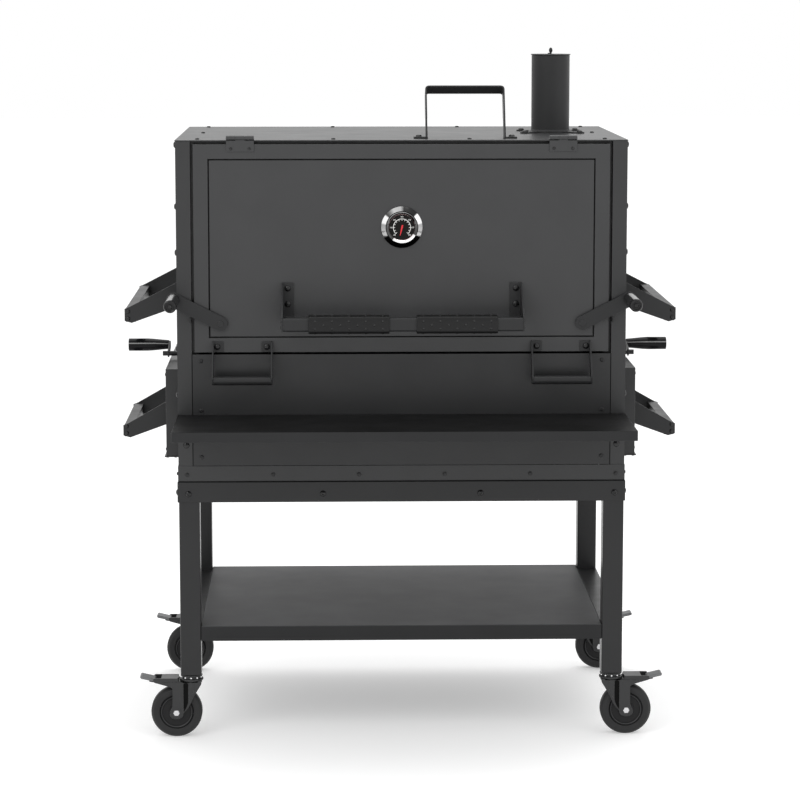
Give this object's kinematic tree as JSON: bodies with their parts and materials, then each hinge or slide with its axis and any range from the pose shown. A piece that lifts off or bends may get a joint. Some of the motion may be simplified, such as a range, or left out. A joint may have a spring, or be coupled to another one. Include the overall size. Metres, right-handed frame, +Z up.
{
  "type": "cabinet charcoal smoker on casters",
  "caption": "Cabinet charcoal smoker with a lifting front door, crank-raised grates, side charcoal drawers, front shelf and caster cart.",
  "frame": {"origin": "on the floor, under the middle of the outline", "axes": "+Z up, +X to the right seen from the front, front door and shelf towards -Y"},
  "size_m": [1.1166, 0.8346, 1.363],
  "materials": {
    "charcoal_coat": "satin charcoal powder coat",
    "black_coat": "satin black powder coat",
    "crank_grip": "glossy black plastic",
    "crank_steel": "zinc plated steel",
    "grate_iron": "porcelain coated iron",
    "chrome": "bright chrome bezel",
    "caster_steel": "dark grey pressed steel",
    "tyre": "hard black rubber",
    "wheel_core": "dark grey moulded plastic",
    "pedal_plastic": "grey moulded plastic"
  },
  "bodies": {
    "body": {"body_frame": "charcoal_coat", "roof": "charcoal_coat", "back_panel": "charcoal_coat", "side_panel_left": "charcoal_coat", "side_panel_right": "charcoal_coat", "front_panel": "charcoal_coat", "floor_pan": "black_coat", "front_shelf": "charcoal_coat", "base_rail_frame": "charcoal_coat", "left_leg_frame": "charcoal_coat", "right_leg_frame": "charcoal_coat", "bottom_shelf": "charcoal_coat", "side_handle_left": "black_coat", "side_handle_right": "black_coat", "chimney": "charcoal_coat", "door_rest": "black_coat", "hinge_roof_leaf_left": "charcoal_coat", "hinge_roof_leaf_right": "charcoal_coat"},
    "door": {"door": "charcoal_coat", "hinge_door_leaf_left": "charcoal_coat", "hinge_door_leaf_right": "charcoal_coat", "handle_bar": "black_coat", "handle_bracket_left": "black_coat", "handle_bracket_right": "black_coat", "handle_sleeve_left": "black_coat", "handle_sleeve_right": "black_coat", "thermometer": "chrome", "pull_handle_left": "black_coat", "pull_handle_right": "black_coat"},
    "chimney_cap": {"chimney_cap": "charcoal_coat"},
    "latch_left": {"latch_lever_left": "black_coat", "latch_grip_left": "black_coat"},
    "grate_left": {"cooking_grate_left": "grate_iron"},
    "crank_left": {"crank_left": "crank_steel"},
    "crank_grip_left": {"crank_grip_left": "crank_grip"},
    "drawer_left": {"charcoal_drawer_left": "charcoal_coat", "drawer_handle_left": "black_coat"},
    "latch_right": {"latch_lever_right": "black_coat", "latch_grip_right": "black_coat"},
    "grate_right": {"cooking_grate_right": "grate_iron"},
    "crank_right": {"crank_right": "crank_steel"},
    "crank_grip_right": {"crank_grip_right": "crank_grip"},
    "drawer_right": {"charcoal_drawer_right": "charcoal_coat", "drawer_handle_right": "black_coat"},
    "front_left_swivel": {"front_left_caster_fork": "caster_steel"},
    "front_left_wheel": {"front_left_caster_tyre": "tyre", "front_left_caster_wheel_core": "wheel_core"},
    "front_left_brake": {"front_left_caster_brake_pedal": "pedal_plastic"},
    "front_right_swivel": {"front_right_caster_fork": "caster_steel"},
    "front_right_wheel": {"front_right_caster_tyre": "tyre", "front_right_caster_wheel_core": "wheel_core"},
    "front_right_brake": {"front_right_caster_brake_pedal": "pedal_plastic"},
    "rear_left_swivel": {"rear_left_caster_fork": "caster_steel"},
    "rear_left_wheel": {"rear_left_caster_tyre": "tyre", "rear_left_caster_wheel_core": "wheel_core"},
    "rear_left_brake": {"rear_left_caster_brake_pedal": "pedal_plastic"},
    "rear_right_swivel": {"rear_right_caster_fork": "caster_steel"},
    "rear_right_wheel": {"rear_right_caster_tyre": "tyre", "rear_right_caster_wheel_core": "wheel_core"},
    "rear_right_brake": {"rear_right_caster_brake_pedal": "pedal_plastic"}
  },
  "joints": [
    {"name": "door_lift", "type": "hinge", "parent": "body", "child": "door", "pos_m": [0, -0.19025, 1.19395], "axis": [-1, 0, 0], "range_deg": [0, 225]},
    {"name": "cap_swivel", "type": "hinge", "parent": "body", "child": "chimney_cap", "pos_m": [0.3136, 0.16275, 1.347], "axis": [0, 0, 1], "range_deg": [0, 90]},
    {"name": "latch_left_turn", "type": "hinge", "parent": "door", "child": "latch_left", "pos_m": [-0.3544, -0.19325, 0.832], "axis": [0, 1, 0], "range_deg": [0, 60]},
    {"name": "grate_left_lift", "type": "slide", "parent": "body", "child": "grate_left", "axis": [0, 0, 1], "range_m": [0, 0.0754]},
    {"name": "crank_left_turn", "type": "hinge", "parent": "body", "child": "crank_left", "pos_m": [0, 0.05075, 0.744], "axis": [1, 0, 0], "range_deg": [-1, 362]},
    {"name": "crank_grip_left_spin", "type": "hinge", "parent": "crank_left", "child": "crank_grip_left", "pos_m": [-0.5, 0.1088, 0.755], "axis": [-1, 0, 0], "continuous": true},
    {"name": "drawer_left_slide", "type": "slide", "parent": "body", "child": "drawer_left", "axis": [-1, 0, 0], "range_m": [0, 0.3]},
    {"name": "latch_right_turn", "type": "hinge", "parent": "door", "child": "latch_right", "pos_m": [0.3544, -0.19325, 0.832], "axis": [0, -1, 0], "range_deg": [0, 60]},
    {"name": "grate_right_lift", "type": "slide", "parent": "body", "child": "grate_right", "axis": [0, 0, 1], "range_m": [0, 0.0754]},
    {"name": "crank_right_turn", "type": "hinge", "parent": "body", "child": "crank_right", "pos_m": [0, 0.05075, 0.744], "axis": [1, 0, 0], "range_deg": [-1, 362]},
    {"name": "crank_grip_right_spin", "type": "hinge", "parent": "crank_right", "child": "crank_grip_right", "pos_m": [0.5, 0.1088, 0.755], "axis": [1, 0, 0], "continuous": true},
    {"name": "drawer_right_slide", "type": "slide", "parent": "body", "child": "drawer_right", "axis": [1, 0, 0], "range_m": [0, 0.3]},
    {"name": "front_left_caster_swivel", "type": "hinge", "parent": "body", "child": "front_left_swivel", "pos_m": [-0.4195, -0.16675, 0.11], "axis": [0, 0, 1], "continuous": true},
    {"name": "front_left_wheel_spin", "type": "hinge", "parent": "front_left_swivel", "child": "front_left_wheel", "pos_m": [-0.4493, -0.16675, 0.051], "axis": [0, 1, 0], "continuous": true},
    {"name": "front_left_brake_press", "type": "hinge", "parent": "front_left_swivel", "child": "front_left_brake", "pos_m": [-0.4635, -0.16675, 0.11], "axis": [0, -1, 0], "range_deg": [0, 6]},
    {"name": "front_right_caster_swivel", "type": "hinge", "parent": "body", "child": "front_right_swivel", "pos_m": [0.4195, -0.16675, 0.11], "axis": [0, 0, 1], "continuous": true},
    {"name": "front_right_wheel_spin", "type": "hinge", "parent": "front_right_swivel", "child": "front_right_wheel", "pos_m": [0.4493, -0.16675, 0.051], "axis": [0, 1, 0], "continuous": true},
    {"name": "front_right_brake_press", "type": "hinge", "parent": "front_right_swivel", "child": "front_right_brake", "pos_m": [0.4635, -0.16675, 0.11], "axis": [0, 1, 0], "range_deg": [0, 6]},
    {"name": "rear_left_caster_swivel", "type": "hinge", "parent": "body", "child": "rear_left_swivel", "pos_m": [-0.4195, 0.39225, 0.11], "axis": [0, 0, 1], "continuous": true},
    {"name": "rear_left_wheel_spin", "type": "hinge", "parent": "rear_left_swivel", "child": "rear_left_wheel", "pos_m": [-0.4493, 0.39225, 0.051], "axis": [0, 1, 0], "continuous": true},
    {"name": "rear_left_brake_press", "type": "hinge", "parent": "rear_left_swivel", "child": "rear_left_brake", "pos_m": [-0.4635, 0.39225, 0.11], "axis": [0, -1, 0], "range_deg": [0, 6]},
    {"name": "rear_right_caster_swivel", "type": "hinge", "parent": "body", "child": "rear_right_swivel", "pos_m": [0.4195, 0.39225, 0.11], "axis": [0, 0, 1], "continuous": true},
    {"name": "rear_right_wheel_spin", "type": "hinge", "parent": "rear_right_swivel", "child": "rear_right_wheel", "pos_m": [0.4493, 0.39225, 0.051], "axis": [0, 1, 0], "continuous": true},
    {"name": "rear_right_brake_press", "type": "hinge", "parent": "rear_right_swivel", "child": "rear_right_brake", "pos_m": [0.4635, 0.39225, 0.11], "axis": [0, 1, 0], "range_deg": [0, 6]}
  ],
  "couplings": [
    {"joint": "crank_left_turn", "follows": "grate_left_lift", "rad_per_m": 83.333},
    {"joint": "crank_right_turn", "follows": "grate_right_lift", "rad_per_m": 83.333}
  ]
}
